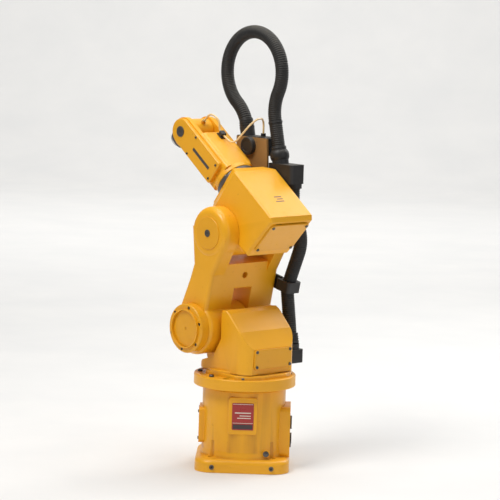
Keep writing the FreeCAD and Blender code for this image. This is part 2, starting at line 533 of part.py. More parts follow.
# ================================================================ FOREARM (frame F)
fr0 = cx(52.0, 100.5, 114, 0, ez)
fr0 = fil(fr0, 2.5, lambda e: isinstance(e.Curve, Part.Circle) and mid(e).x < 101)
fb = rbox(112, 236, -45, 45, ez - 43, ez + 43, 13.0, (1, 0, 0))
chs = []
for s in (-1, 1):
    y0, y1 = sorted((s * 32.0, s * 45.0))
    c = fuse(box(225, J5_X, y0, y1, ez - 36, ez + 36), cy(36.0, J5_X, ez, y0, y1))
    chs.append(c)
fa = fr0.fuse([fb] + chs)
hub4 = cx(30.0 - FIT, 50.0, 101, 0, ez).fuse(cx(38.0, 44.0, 50.0, 0, ez))
fa = clean(fa.fuse(hub4))
fa = fa.cut([cx(12.0, 40, 130, 0, ez), rbox(124, 226, -38, 38, ez - 35, ez + 35, 6.0, (1, 0, 0)),
             cy(20.0, J5_X, ez, -46, 46), cy(10.0, 168, ez, 37, 46),
             cy(56.0, J5_X, ez, -32.0, 32.0)])
top_scr = [(-1, 132), (1, 132), (-1, 214), (1, 214)]
fa = fa.cut([box(126, 222, -30, 30, ez + 34, ez + 38)])
fs = [(136, 22), (136, -22), (236, 27), (236, -27)]
fa = fa.cut([cy(1.7, x, ez + z, 36, 46) for x, z in fs] + [cy(1.7, x, ez + z, -46, -36) for x, z in fs])
fa = clean(fa)
out("forearm_casting", fa, "F")

def side_cover(s):
    y0, y1 = sorted((s * 45.0, s * 55.5))
    o = fuse(rbox(126, J5_X, y0, y1, ez - 33, ez + 33, 8.0, (0, 1, 0)), cy(33.0, J5_X, ez, y0, y1))
    o = fil(o, 3.0, lambda e: abs(abs(mid(e).y) - 55.5) < 0.01)
    i0, i1 = sorted((s * 44.0, s * 53.5))
    i = fuse(rbox(128.5, J5_X, i0, i1, ez - 30.5, ez + 30.5, 6.0, (0, 1, 0)), cy(30.5, J5_X, ez, i0, i1))
    o = o.cut(i)
    h = []
    for x, z in fs:
        y2, y3 = sorted((s * 45.0, s * 55.0))
        h.append(cy(3.4, x, ez + z, y2, y3))
    o = o.fuse(h)
    o = o.cut([cy(1.75, x, ez + z, -60, 60) for x, z in fs])
    return clean(o)
out("forearm_covers", Part.makeCompound([side_cover(1), side_cover(-1)]), "F")
out("forearm_cover_screws", Part.makeCompound([screw((x, s * 55.5, ez + z), (0, s, 0), 3.0, 2.2, 1.5, 17, 1.3) for s in (-1, 1) for x, z in fs]), "F")
m5 = cy(30.0, 168, ez, -34, 28).fuse([rbox(140, 196, 28, 38.0, ez - 28, ez + 28, 4.0, (0, 1, 0)), cy(5.0, 168, ez, 38, 47.0)])
out("j5_gearmotor", clean(m5), "F")
PR5, PR5D = 22.0, 14.0
C5 = J5_X - 168
dp = ring(PR5D, 5.0 + FIT, (168, 47.3, ez), (0, 1, 0), 5.4)
dp = dp.cut([cy(2.0, 168 + 9.2 * cos(k * pi / 2), ez + 9.2 * sin(k * pi / 2), 47, 53) for k in range(4)])
m5b = cy(5.0, 168, ez, 46.0, 52.0)
out("j5_drive_pulley", dp, "F")
# belt loop
def belt_loop(g, y0, y1):
    r1, r2 = PR5D + g, PR5 + g
    al = atan2((r2 - r1), sqrt(C5 * C5 - (r2 - r1) ** 2))
    # tangent points, drive pulley at x=168, driven at J5
    pts = []
    a1 = pi / 2 + al
    p1 = (168 + r1 * cos(a1), ez + r1 * sin(a1)); p2 = (J5_X + r2 * cos(a1), ez + r2 * sin(a1))
    q1 = (168 + r1 * cos(-a1), ez + r1 * sin(-a1)); q2 = (J5_X + r2 * cos(-a1), ez + r2 * sin(-a1))
    vv = lambda p: V(p[0], y0, p[1])
    e = [Part.LineSegment(vv(p1), vv(p2)).toShape(),
         Part.Arc(vv(p2), V(J5_X + r2, y0, ez), vv(q2)).toShape(),
         Part.LineSegment(vv(q2), vv(q1)).toShape(),
         Part.Arc(vv(q1), V(168 - r1, y0, ez), vv(p1)).toShape()]
    return Part.Face(Part.Wire(e)).extrude(V(0, y1 - y0, 0))
belt = belt_loop(2.6, 48.0, 52.6).cut(belt_loop(0.35, 47.0, 53.0))
out("j5_belt", clean(belt), "F")
clp = rbox(214, 226, -18, -2, ez + 43.0, ez + 57.0, 3.0, (1, 0, 0)).fuse(box(210, 230, -18, -2, ez + 43.0, ez + 46))
clp = clp.cut(cx(TUBE_R, 213, 227, -10, ez + 50.5))
out("tube_clip", clean(clp), "F")

# ================================================================ WRIST (frame W, origin at J5, x towards the tool)
w = cy(31.0, 0, 0, -31.0, 31.0)
w = fil(w, 2.0, lambda e: isinstance(e.Curve, Part.Circle))
wb = cx(30.0, 0, 57, 0, 0)
wb = wb.common(box(-1, 60, -31, 31, -31, 31))
w = clean(w.fuse([wb, box(0, 26, -29, 29, -29, 29)]))
w = w.fuse([cy(20.0 - FIT, 0, 0, 30.0, 45.5), cy(20.0 - FIT, 0, 0, -45.5, -30.0)])
w = clean(w)
FITA, FITR = radians(155.0), 40.2      # where the air fitting stands on the hub
w = w.cut([cy(21.0, 0, 0, -24, 24), cx(20.2, 24, 58, 0, 0), cy(6.0, 0, 0, 23, 47),
           cyl(5.5, (26.0 * cos(FITA), 0, 26.0 * sin(FITA)), (cos(FITA), 0, sin(FITA)), 12)])
out("wrist_casting", clean(w), "W")
out("j5_reducer", cy(20.9, 0, 0, -23.8, 23.8), "W")
pu = ring(PR5, 6.0, (0, 47.3, 0), (0, 1, 0), 5.4).fuse(ring(12, 6.0, (0, 45.5, 0), (0, 1, 0), 1.8))
pu = pu.cut([cy(3.0, 15.5 * cos(k * pi / 3), 15.5 * sin(k * pi / 3), 47, 53) for k in range(6)])
out("j5_pulley", clean(pu), "W")
out("j6_motor", cx(20.0, 24.2, 52.0, 0, 0), "W")
j6 = ring(29.0, 15.0, (57.0, 0, 0), (1, 0, 0), 9.0)
j6 = fil(j6, 2.0, lambda e: isinstance(e.Curve, Part.Circle) and abs(mid(e).x - 66) < 0.01 and e.Curve.Radius > 20)
out("j6_bearing_cap", j6, "W")
wf = cyl(5.45, (26.2 * cos(FITA), 0, 26.2 * sin(FITA)), (cos(FITA), 0, sin(FITA)), 13.8)
wf = wf.cut(cyl(TUBE_R, (30 * cos(FITA), 0, 30 * sin(FITA)), (cos(FITA), 0, sin(FITA)), 12))
out("wrist_air_fitting", wf, "W")
tf = cx(20.0, 68.5, TOOL_L, 0, 0)
tf = fil(tf, 0.8, lambda e: isinstance(e.Curve, Part.Circle))
tf = tf.fuse([cx(15.0 - FIT, 56.5, 68.5, 0, 0), cx(18.0, 53.0, 56.5, 0, 0)])
tf = clean(tf).cut([cx(10.0, 73.5, 81, 0, 0)] + [cx(2.5, 69.5, 81, PCD / 2 * cos(radians(45 + 90 * k)), PCD / 2 * sin(radians(45 + 90 * k))) for k in range(4)])
out("tool_flange", clean(tf), "W")

# thin air tube, elbow block -> clip on the forearm -> wrist
def FA(x, y, z):
    v = P_F.multVec(V(x, y, z))
    return (v.x, v.y, v.z)
def WA(x, y, z):
    v = P_W.multVec(V(x, y, z))
    return (v.x, v.y, v.z)
ta = [(64, -100, 830), (64, -100, 872), FA(176, -40, 216), FA(172, -10, 136), FA(213.5, -10, ez + 50.5)]
t1 = tube(ta, TUBE_R, "air tube a")
out("air_tube_a", t1)
tb2 = [FA(213.9, -10, ez + 50.5), FA(234, -10, ez + 50.5), FA(249, -9, 151), FA(280, -1, 150), WA(FITR * cos(FITA), 0, FITR * sin(FITA))]
t2 = tube(tb2, TUBE_R, "air tube b")
out("air_tube_b", t2)

print("J3", P_YAW.multVec(V(J3_X, 0, J3_Z)))
for nm, p, fr in (("J2", (0, 0, 0), P_U), ("J3", (0, 0, 0), P_F), ("J4", (95, 0, ez), P_F), ("J5", (0, 0, 0), P_W), ("drive", (168, 50, ez), P_F), ("flange", (TOOL_L, 0, 0), P_W), ("bore", (73.5, 0, 0), P_W)):
    v = P_YAW.multVec(fr.multVec(V(*p)))
    print(nm, "%.4f %.4f %.4f" % (v.x / 1000, v.y / 1000, v.z / 1000))
for nm, d, fr in (("a", (0, 1, 0), P_U), ("u", (1, 0, 0), P_F), ("w", (1, 0, 0), P_W)):
    v = P_YAW.Rotation.multVec(fr.Rotation.multVec(V(*d)))
    print(nm, "%.6f %.6f %.6f" % (v.x, v.y, v.z))
print(len(NODES), "nodes")
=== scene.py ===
import bpy, bmesh, math, json
from math import sin, cos, pi, radians, acos, tan
from mathutils import Vector, Matrix, noise

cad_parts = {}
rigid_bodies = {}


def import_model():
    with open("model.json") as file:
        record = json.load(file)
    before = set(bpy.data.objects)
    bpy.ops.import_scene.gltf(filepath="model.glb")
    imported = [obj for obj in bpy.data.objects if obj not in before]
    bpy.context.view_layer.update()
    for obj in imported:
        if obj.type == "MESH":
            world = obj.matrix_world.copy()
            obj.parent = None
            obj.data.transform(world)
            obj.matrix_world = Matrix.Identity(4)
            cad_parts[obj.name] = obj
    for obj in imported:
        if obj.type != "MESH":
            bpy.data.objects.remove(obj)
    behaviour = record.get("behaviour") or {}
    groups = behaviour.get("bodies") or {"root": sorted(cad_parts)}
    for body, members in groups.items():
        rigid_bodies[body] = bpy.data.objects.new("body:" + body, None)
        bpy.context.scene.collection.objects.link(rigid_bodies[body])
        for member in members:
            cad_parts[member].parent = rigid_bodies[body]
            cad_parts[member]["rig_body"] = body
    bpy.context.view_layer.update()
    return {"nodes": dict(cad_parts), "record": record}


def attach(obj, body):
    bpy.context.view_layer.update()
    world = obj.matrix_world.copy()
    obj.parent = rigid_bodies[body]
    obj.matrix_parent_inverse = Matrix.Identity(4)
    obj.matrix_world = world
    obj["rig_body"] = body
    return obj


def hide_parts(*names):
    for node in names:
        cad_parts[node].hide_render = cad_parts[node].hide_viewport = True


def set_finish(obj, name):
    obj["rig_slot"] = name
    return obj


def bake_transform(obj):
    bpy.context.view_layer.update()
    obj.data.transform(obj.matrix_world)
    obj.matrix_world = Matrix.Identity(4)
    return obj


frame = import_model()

N = frame["nodes"]
scene = bpy.context.scene

# ------------------------------------------------------------------ camera
cam_d = bpy.data.cameras.new("cam")
cam = bpy.data.objects.new("cam", cam_d)
scene.collection.objects.link(cam)
scene.camera = cam
cam_d.sensor_width = 36.0
cam_d.lens = 186.0
cam_d.dof.use_dof = False
AZ, EL, ROLL, DIST = math.radians(1.07), math.radians(7.3), math.radians(1.65), 6.5
look = Vector((sin(AZ) * cos(EL), -cos(AZ) * cos(EL), -sin(EL)))
cam.location = Vector((0.0, 0.0, 0.5)) - look * DIST
aim = Vector((-0.004, 0.0, 0.548))
fwd = (aim - cam.location).normalized()
right = fwd.cross(Vector((0, 0, 1))).normalized()
upv = right.cross(fwd)
right, upv = right * cos(ROLL) + upv * sin(ROLL), upv * cos(ROLL) - right * sin(ROLL)
cam.rotation_mode = "QUATERNION"
cam.rotation_quaternion = Matrix((right, upv, -fwd)).transposed().to_quaternion()

# ------------------------------------------------------------------ frames of the arm, as in the CAD
YAW, LEAN, ELEV, DIP = radians(-46), radians(12), radians(37), radians(20)
J3X = 75 - 250 * sin(LEAN); J3Z = 350 + 250 * cos(LEAN)

def M_A():
    return Matrix.Rotation(YAW, 4, "Z")

def tip(x, z, up):
    return Matrix.Translation((x / 1000, 0, z / 1000)) @ Matrix.Rotation(-up, 4, "Y")

MA = M_A()
MU = MA @ tip(75, 350, LEAN)
MF = MA @ tip(J3X, J3Z, ELEV)
_j5 = (tip(J3X, J3Z, ELEV) @ Vector((0.290, 0, 0.080)))
MW = MA @ tip(_j5.x * 1000, _j5.z * 1000, -DIP)
MR = Matrix.Identity(4)
FR = {"R": MR, "A": MA, "U": MU, "F": MF, "W": MW}

def P(fr, x, y, z):
    return FR[fr] @ Vector((x / 1000, y / 1000, z / 1000))

def Pa(fr, pts):
    return [P(fr, *p) for p in pts]

# ------------------------------------------------------------------ materials
def nt(name):
    m = bpy.data.materials.new(name)
    m.use_nodes = True
    t = m.node_tree
    b = t.nodes["Principled BSDF"]
    return m, t, b

def coords(t, scale=(1, 1, 1)):
    c = t.nodes.new("ShaderNodeTexCoord")
    mp = t.nodes.new("ShaderNodeMapping")
    mp.inputs["Scale"].default_value = scale
    t.links.new(c.outputs["Object"], mp.inputs["Vector"])
    return mp.outputs["Vector"]

def tex(t, vec, scale, detail=4.0, rough=0.55, dist=0.0):
    n = t.nodes.new("ShaderNodeTexNoise")
    n.inputs["Scale"].default_value = scale
    n.inputs["Detail"].default_value = detail
    n.inputs["Roughness"].default_value = rough
    n.inputs["Distortion"].default_value = dist
    t.links.new(vec, n.inputs["Vector"])
    return n.outputs["Fac"]

def ramp(t, fac, stops):
    r = t.nodes.new("ShaderNodeValToRGB")
    e = r.color_ramp.elements
    while len(e) > 1:
        e.remove(e[-1])
    e[0].position = stops[0][0]; e[0].color = stops[0][1]
    for p, c in stops[1:]:
        k = e.new(p); k.color = c
    t.links.new(fac, r.inputs["Fac"])
    return r.outputs["Color"]

def g(v):
    return (v, v, v, 1)

def mixc(t, fac, a, b, blend="MIX"):
    m = t.nodes.new("ShaderNodeMix")
    m.data_type = "RGBA"
    m.blend_type = blend
    if hasattr(fac, "links") or not isinstance(fac, (int, float)):
        t.links.new(fac, m.inputs[0])
    else:
        m.inputs[0].default_value = fac
    for s, v in ((6, a), (7, b)):
        if isinstance(v, tuple):
            m.inputs[s].default_value = v
        else:
            t.links.new(v, m.inputs[s])
    return m.outputs[2]

def math_(t, op, a, b=0.5, clamp=False):
    m = t.nodes.new("ShaderNodeMath")
    m.operation = op
    m.use_clamp = clamp
    for i, v in enumerate((a, b)):
        if isinstance(v, (int, float)):
            m.inputs[i].default_value = v
        else:
            t.links.new(v, m.inputs[i])
    return m.outputs[0]

def maprange(t, v, a, b, c, d):
    m = t.nodes.new("ShaderNodeMapRange")
    m.inputs[1].default_value = a; m.inputs[2].default_value = b
    m.inputs[3].default_value = c; m.inputs[4].default_value = d
    t.links.new(v, m.inputs[0])
    return m.outputs[0]

def bump(t, h, strength, dist, normal=None):
    b = t.nodes.new("ShaderNodeBump")
    b.inputs["Strength"].default_value = strength
    b.inputs["Distance"].default_value = dist
    t.links.new(h, b.inputs["Height"])
    if normal is not None:
        t.links.new(normal, b.inputs["Normal"])
    return b.outputs["Normal"]

def pointy(t):
    n = t.nodes.new("ShaderNodeNewGeometry")
    return n.outputs["Pointiness"]

def up_facing(t):
    n = t.nodes.new("ShaderNodeNewGeometry")
    s = t.nodes.new("ShaderNodeSeparateXYZ")
    t.links.new(n.outputs["Normal"], s.inputs[0])
    return s.outputs["Z"]

def paint(name, col, dark, rough=(0.32, 0.48), cast=1.0, dust=0.05, coat=0.10):
    """sprayed machine paint on a casting: orange peel, cast ripple, painted shade in the hollows, dust on top"""
    m, t, b = nt(name)
    v = coords(t)
    big = tex(t, v, 9.0, 5.0, 0.6)
    midn = tex(t, v, 60.0, 4.0, 0.6)
    fine = tex(t, v, 900.0, 3.0, 0.6)
    c = mixc(t, maprange(t, big, 0.35, 0.7, 0.0, 0.22), col, dark)
    # painted shade: concave hollows (low pointiness) are darkened towards a dark brown
    hollow_shade = maprange(t, pointy(t), 0.40, 0.49, 0.55, 0.0)
    c = mixc(t, hollow_shade, c, (dark[0] * 0.55, dark[1] * 0.5, dark[2] * 0.6 + 0.004, 1))
    edge = maprange(t, pointy(t), 0.53, 0.60, 0.0, 0.35)
    c = mixc(t, edge, c, (min(1, col[0] * 1.12), min(1, col[1] * 1.15), col[2] * 1.5 + 0.01, 1))
    sp = maprange(t, midn, 0.66, 0.74, 0.0, 0.30)
    c = mixc(t, sp, c, (dark[0] * 0.7, dark[1] * 0.62, dark[2], 1))
    du = math_(t, "MULTIPLY", maprange(t, up_facing(t), 0.6, 1.0, 0.0, dust), maprange(t, midn, 0.3, 0.7, 0.3, 1.0))
    c = mixc(t, du, c, (0.55, 0.47, 0.33, 1))
    t.links.new(c, b.inputs["Base Color"])
    r = math_(t, "ADD", maprange(t, midn, 0.3, 0.7, rough[0], rough[1]), math_(t, "MULTIPLY", du, 1.2))
    t.links.new(r, b.inputs["Roughness"])
    h = math_(t, "ADD", math_(t, "MULTIPLY", fine, 0.25), math_(t, "MULTIPLY", tex(t, v, 220.0, 4.0, 0.65), 0.75 * cast))
    n1 = bump(t, h, 0.28, 0.0006)
    t.links.new(n1, b.inputs["Normal"])
    b.inputs["Coat Weight"].default_value = coat
    b.inputs["Coat Roughness"].default_value = 0.18
    b.inputs["Specular IOR Level"].default_value = 0.45
    return m

def metal(name, col, rough=(0.24, 0.42), lathe=None, dark=None):
    m, t, b = nt(name)
    v = coords(t)
    s = coords(t, (60, 900, 900) if lathe is None else lathe)
    br = tex(t, s, 1.2, 3.0, 0.6)
    big = tex(t, v, 25.0, 5.0, 0.6)
    c = mixc(t, maprange(t, big, 0.35, 0.7, 0, 0.45), (col[0], col[1], col[2], 1), tuple(0.6 * x for x in col[:3]) + (1,))
    # painted shade: the optional dark colour fills concave hollows such as screw sockets
    if dark:
        c = mixc(t, maprange(t, pointy(t), 0.40, 0.49, 0.7, 0.0), c, dark)
    t.links.new(c, b.inputs["Base Color"])
    b.inputs["Metallic"].default_value = 1.0
    r = math_(t, "ADD", maprange(t, br, 0.3, 0.7, rough[0], rough[1]), maprange(t, big, 0.4, 0.8, 0.0, 0.1))
    t.links.new(r, b.inputs["Roughness"])
    t.links.new(bump(t, br, 0.12, 0.0003), b.inputs["Normal"])
    return m

def plastic(name, col, rough=(0.38, 0.55), grain=700.0, dust=0.16, bumps=0.25, spec=0.4):
    m, t, b = nt(name)
    v = coords(t)
    big = tex(t, v, 18.0, 5.0, 0.6)
    gr = tex(t, v, grain, 3.0, 0.6)
    c = mixc(t, maprange(t, big, 0.4, 0.75, 0.0, 0.5), (col[0], col[1], col[2], 1), (col[0] * 1.7 + 0.01, col[1] * 1.6 + 0.01, col[2] * 1.5 + 0.01, 1))
    du = math_(t, "MULTIPLY", maprange(t, up_facing(t), 0.2, 1.0, 0.0, dust), maprange(t, tex(t, v, 90.0, 5.0, 0.7), 0.35, 0.7, 0.2, 1.0))
    c = mixc(t, du, c, (0.34, 0.29, 0.2, 1))
    e = maprange(t, pointy(t), 0.53, 0.62, 0.0, 0.25)
    c = mixc(t, e, c, (col[0] * 2.4 + 0.03, col[1] * 2.4 + 0.03, col[2] * 2.4 + 0.03, 1))
    t.links.new(c, b.inputs["Base Color"])
    t.links.new(math_(t, "ADD", maprange(t, gr, 0.3, 0.7, rough[0], rough[1]), du), b.inputs["Roughness"])
    t.links.new(bump(t, gr, bumps, 0.0004), b.inputs["Normal"])
    b.inputs["Specular IOR Level"].default_value = spec
    return m

YEL = (0.86, 0.405, 0.006, 1)
YDK = (0.64, 0.25, 0.005, 1)
MT = {}
MT["yellow_paint"] = paint("yellow_paint", YEL, YDK)
MT["cover_paint"] = paint("cover_paint", (0.80, 0.37, 0.006, 1), YDK, (0.30, 0.42), 0.35, 0.04, 0.12)
# the last colour is painted shade in the screw recesses
MT["screw_steel"] = metal("screw_steel", (0.16, 0.155, 0.15), (0.3, 0.5), None, (0.02, 0.018, 0.015, 1))
MT["machined_steel"] = metal("machined_steel", (0.62, 0.62, 0.63), (0.2, 0.36))
MT["dark_metal"] = plastic("dark_metal", (0.045, 0.04, 0.036), (0.3, 0.45), 500, 0.1, 0.15, 0.55)
MT["motor_black"] = plastic("motor_black", (0.02, 0.02, 0.022), (0.35, 0.5), 500, 0.1, 0.15, 0.5)
MT["bronze_paint"] = paint("bronze_paint", (0.30, 0.16, 0.045, 1), (0.16, 0.08, 0.02, 1), (0.35, 0.5), 0.4, 0.1, 0.15)
MT["black_plastic"] = plastic("black_plastic", (0.016, 0.015, 0.015))
MT["hose_black"] = plastic("hose_black", (0.013, 0.0125, 0.0125), (0.42, 0.6), 400, 0.22, 0.2, 0.35)
MT["pulley_alloy"] = metal("pulley_alloy", (0.72, 0.72, 0.73))
MT["brass_fitting"] = metal("brass_fitting", (0.72, 0.5, 0.2), (0.22, 0.4))
MT["label_red"] = paint("label_red", (0.36, 0.02, 0.012, 1), (0.22, 0.012, 0.01, 1), (0.25, 0.4), 0.15, 0.05, 0.3)
MT["label_pale"] = paint("label_pale", (0.72, 0.66, 0.5, 1), (0.5, 0.45, 0.33, 1), (0.3, 0.45), 0.1, 0.05, 0.2)
MT["label_dark"] = paint("label_dark", (0.05, 0.03, 0.025, 1), (0.02, 0.015, 0.012, 1), (0.3, 0.45), 0.1, 0.05, 0.2)

def airtube(name, col):
    m, t, b = nt(name)
    v = coords(t)
    c = mixc(t, maprange(t, tex(t, v, 40.0), 0.35, 0.7, 0.0, 0.4), (col[0], col[1], col[2], 1), (col[0] * 0.8, col[1] * 0.72, col[2] * 0.6, 1))
    t.links.new(c, b.inputs["Base Color"])
    t.links.new(maprange(t, tex(t, v, 500.0), 0.3, 0.7, 0.22, 0.36), b.inputs["Roughness"])
    t.links.new(bump(t, tex(t, v, 700.0), 0.1, 0.0002), b.inputs["Normal"])
    b.inputs["Subsurface Weight"].default_value = 0.15
    b.inputs["Subsurface Radius"].default_value = (0.004, 0.003, 0.001)
    b.inputs["Coat Weight"].default_value = 0.2
    return m
MT["air_tube"] = airtube("air_tube", (0.86, 0.62, 0.30))

slots = {s["node"]: s["material_slot"] for s in frame["record"]["subparts"]}
for name, ob in N.items():
    mat = MT[slots[name]]
    if name in ("turret_rear_cover", "elbow_rear_cover", "forearm_covers", "j2_cap", "j2_cap_lid", "j2_cap_right", "j3_caps", "battery_cover"):
        mat = MT["cover_paint"]
    ob.data.materials.clear()
    ob.data.materials.append(mat)

# ------------------------------------------------------------------ mesh helpers
def add_mesh(name, verts, faces, mat, body=None, smooth=True, slotname=None, sharp=None):
    me = bpy.data.meshes.new(name)
    me.from_pydata([tuple(v) for v in verts], [], faces)
    me.validate()
    bm = bmesh.new(); bm.from_mesh(me)
    bmesh.ops.recalc_face_normals(bm, faces=bm.faces)
    for f in bm.faces:
        f.smooth = smooth
    if smooth and sharp is not None:
        for e in bm.edges:
            if len(e.link_faces) == 2 and e.calc_face_angle(0) > sharp:
                e.smooth = False
    bm.to_mesh(me); bm.free()
    o = bpy.data.objects.new(name, me)
    scene.collection.objects.link(o)
    me.materials.append(MT[mat] if isinstance(mat, str) else mat)
    if body:
        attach(o, body)
    if slotname or isinstance(mat, str):
        s = slotname or mat
        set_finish(o, {"cover_paint": "yellow_paint", "label_pale": "label_red", "label_dark": "label_red"}.get(s, s))
    return o

def corner_path(pts, step=0.002, k=0.45):
    """points along straight runs joined by tangent arcs"""
    Pn = [Vector(p) for p in pts]
    out = [Pn[0]]
    def line(a, b):
        n = max(1, int((b - a).length / step))
        for i in range(1, n + 1):
            out.append(a + (b - a) * (i / n))
    a = Pn[0]
    for i in range(1, len(Pn) - 1):
        d0 = Pn[i] - Pn[i - 1]; d1 = Pn[i + 1] - Pn[i]
        u0, u1 = d0.normalized(), d1.normalized()
        turn = acos(max(-1, min(1, u0.dot(u1))))
        t = k * min(d0.length, d1.length)
        R = t / tan(turn / 2)
        s = Pn[i] - u0 * t
        e = Pn[i] + u1 * t
        bis = (u1 - u0).normalized()
        c = Pn[i] + bis * (R / cos(turn / 2))
        line(a, s)
        n = max(3, int(R * turn / step))
        ax = u0.cross(u1).normalized()
        for j in range(1, n + 1):
            out.append(c + Matrix.Rotation(turn * j / n, 3, ax) @ (s - c))
        a = e
    line(a, Pn[-1])
    return out

def frames_along(path):
    """parallel transport frames"""
    T = []
    for i in range(len(path)):
        a = path[max(0, i - 1)]; b = path[min(len(path) - 1, i + 1)]
        T.append((b - a).normalized())
    n = T[0].orthogonal().normalized()
    out = []
    for i, t in enumerate(T):
        n = (n - t * n.dot(t)).normalized()
        out.append((t, n, t.cross(n).normalized()))
    return out

def resample(path, step):
    L = [0.0]
    for i in range(1, len(path)):
        L.append(L[-1] + (path[i] - path[i - 1]).length)
    n = max(2, int(round(L[-1] / step)))
    out, j = [], 0
    for i in range(n + 1):
        s = L[-1] * i / n
        while j < len(L) - 2 and L[j + 1] < s:
            j += 1
        f = (s - L[j]) / max(1e-9, L[j + 1] - L[j])
        out.append(path[j] + (path[j + 1] - path[j]) * min(1, max(0, f)))
    return out, L[-1]

def sweep(name, path, rad, mat, body=None, segs=24, slotname=None, sharp=None):
    """tube whose radius is rad(i, s) at each point; capped"""
    fr = frames_along(path)
    verts, faces = [], []
    s = 0.0
    for i, (p, (t, n, b)) in enumerate(zip(path, fr)):
        if i:
            s += (path[i] - path[i - 1]).length
        r = rad(i, s)
        for j in range(segs):
            a = 2 * pi * j / segs
            verts.append(p + n * (r * cos(a)) + b * (r * sin(a)))
    m = len(path)
    for i in range(m - 1):
        for j in range(segs):
            k = (j + 1) % segs
            faces.append((i * segs + j, i * segs + k, (i + 1) * segs + k, (i + 1) * segs + j))
    faces.append(tuple(range(segs))[::-1])
    faces.append(tuple((m - 1) * segs + j for j in range(segs)))
    return add_mesh(name, verts, faces, mat, body, True, slotname, sharp)

def conduit(name, path, R, pitch, body, mat="hose_black", depth=0.055, segs=32):
    """corrugated hose: rounded ridges and narrower grooves"""
    prof = [(0.0, 1 - depth), (0.18, 1 - depth), (0.34, 0.985), (0.48, 1.0), (0.74, 1.0), (0.88, 0.985)]
    base, L = resample(path, 0.0008)
    n = int(L / pitch)
    pitch = L / n
    pts, rr = [], []
    LL = [0.0]
    for i in range(1, len(base)):
        LL.append(LL[-1] + (base[i] - base[i - 1]).length)
    j = 0
    for k in range(n):
        for f, r in prof:
            s = (k + f) * pitch
            while j < len(LL) - 2 and LL[j + 1] < s:
                j += 1
            q = (s - LL[j]) / max(1e-9, LL[j + 1] - LL[j])
            pts.append(base[j] + (base[j + 1] - base[j]) * q); rr.append(R * r)
    pts.append(base[-1]); rr.append(R * (1 - depth))
    return sweep(name, pts, lambda i, s: rr[i], mat, body, segs)

def lathe(name, prof, origin, axis, mat, body, segs=48, sharp=radians(35), slotname=None, phase=0.0, poly=None):
    """profile (distance along axis, radius) in mm turned about axis; poly gives a flat-sided section"""
    ax = Vector(axis).normalized()
    n = ax.orthogonal().normalized()
    n = Matrix.Rotation(phase, 3, ax) @ n
    b = ax.cross(n).normalized()
    o0 = Vector(origin)
    verts, faces = [], []
    closed0, closed1 = prof[0][1] < 1e-6, prof[-1][1] < 1e-6
    rows = []
    for h, r in prof:
        if r < 1e-6:
            rows.append([len(verts)])
            verts.append(o0 + ax * (h / 1000))
        else:
            row = []
            for j in range(segs):
                a = 2 * pi * j / segs
                rr = r
                if poly:
                    seg = 2 * pi / poly
                    loc = (a % seg) - seg / 2
                    rr = min(r, (r * cos(pi / poly)) / cos(loc) * 1.0)
                row.append(len(verts))
                verts.append(o0 + ax * (h / 1000) + (n * cos(a) + b * sin(a)) * (rr / 1000))
            rows.append(row)
    for r0, r1 in zip(rows, rows[1:]):
        if len(r0) == 1 and len(r1) == 1:
            continue
        for j in range(segs):
            k = (j + 1) % segs
            if len(r0) == 1:
                faces.append((r0[0], r1[k], r1[j]))
            elif len(r1) == 1:
                faces.append((r0[j], r0[k], r1[0]))
            else:
                faces.append((r0[j], r0[k], r1[k], r1[j]))
    if len(rows[0]) > 1:
        faces.append(tuple(rows[0])[::-1])
    if len(rows[-1]) > 1:
        faces.append(tuple(rows[-1]))
    return add_mesh(name, verts, faces, mat, body, True, slotname, sharp)

def slab(name, fr, x, y, z, mat, body, bev=1.0, segs=3, cut=None):
    """rounded block in one of the arm's frames, mm"""
    bm = bmesh.new()
    bmesh.ops.create_cube(bm, size=1.0)
    for v in bm.verts:
        v.co = Vector(((x[0] + x[1]) / 2 + v.co.x * (x[1] - x[0]), (y[0] + y[1]) / 2 + v.co.y * (y[1] - y[0]), (z[0] + z[1]) / 2 + v.co.z * (z[1] - z[0]))) / 1000
    bmesh.ops.bevel(bm, geom=list(bm.edges), offset=bev / 1000, segments=segs, profile=0.5, affect="EDGES")
    bmesh.ops.transform(bm, matrix=FR[fr], verts=bm.verts)
    bmesh.ops.recalc_face_normals(bm, faces=bm.faces)
    for f in bm.faces:
        f.smooth = True
    for e in bm.edges:
        if len(e.link_faces) == 2 and e.calc_face_angle(0) > radians(32):
            e.smooth = False
    me = bpy.data.meshes.new(name)
    bm.to_mesh(me); bm.free()
    o = bpy.data.objects.new(name, me)
    scene.collection.objects.link(o)
    me.materials.append(MT[mat])
    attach(o, body)
    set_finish(o, {"cover_paint": "yellow_paint", "label_pale": "label_red", "label_dark": "label_red"}.get(mat, mat))
    return o

def join(objs, name):
    """several rigid pieces of one body and one material into one"""
    bm = bmesh.new()
    for o in objs:
        tmp = bmesh.new(); tmp.from_mesh(o.data)
        me = bpy.data.meshes.new("tmp"); tmp.transform(o.matrix_world); tmp.to_mesh(me); tmp.free()
        bm.from_mesh(me)
        bpy.data.meshes.remove(me)
    me = bpy.data.meshes.new(name)
    bm.to_mesh(me); bm.free()
    me.materials.append(objs[0].data.materials[0])
    o = bpy.data.objects.new(name, me)
    scene.collection.objects.link(o)
    body = objs[0].get("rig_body"); sl = objs[0].get("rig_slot")
    for q in objs:
        bpy.data.objects.remove(q)
    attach(o, body)
    if sl:
        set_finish(o, sl)
    return o

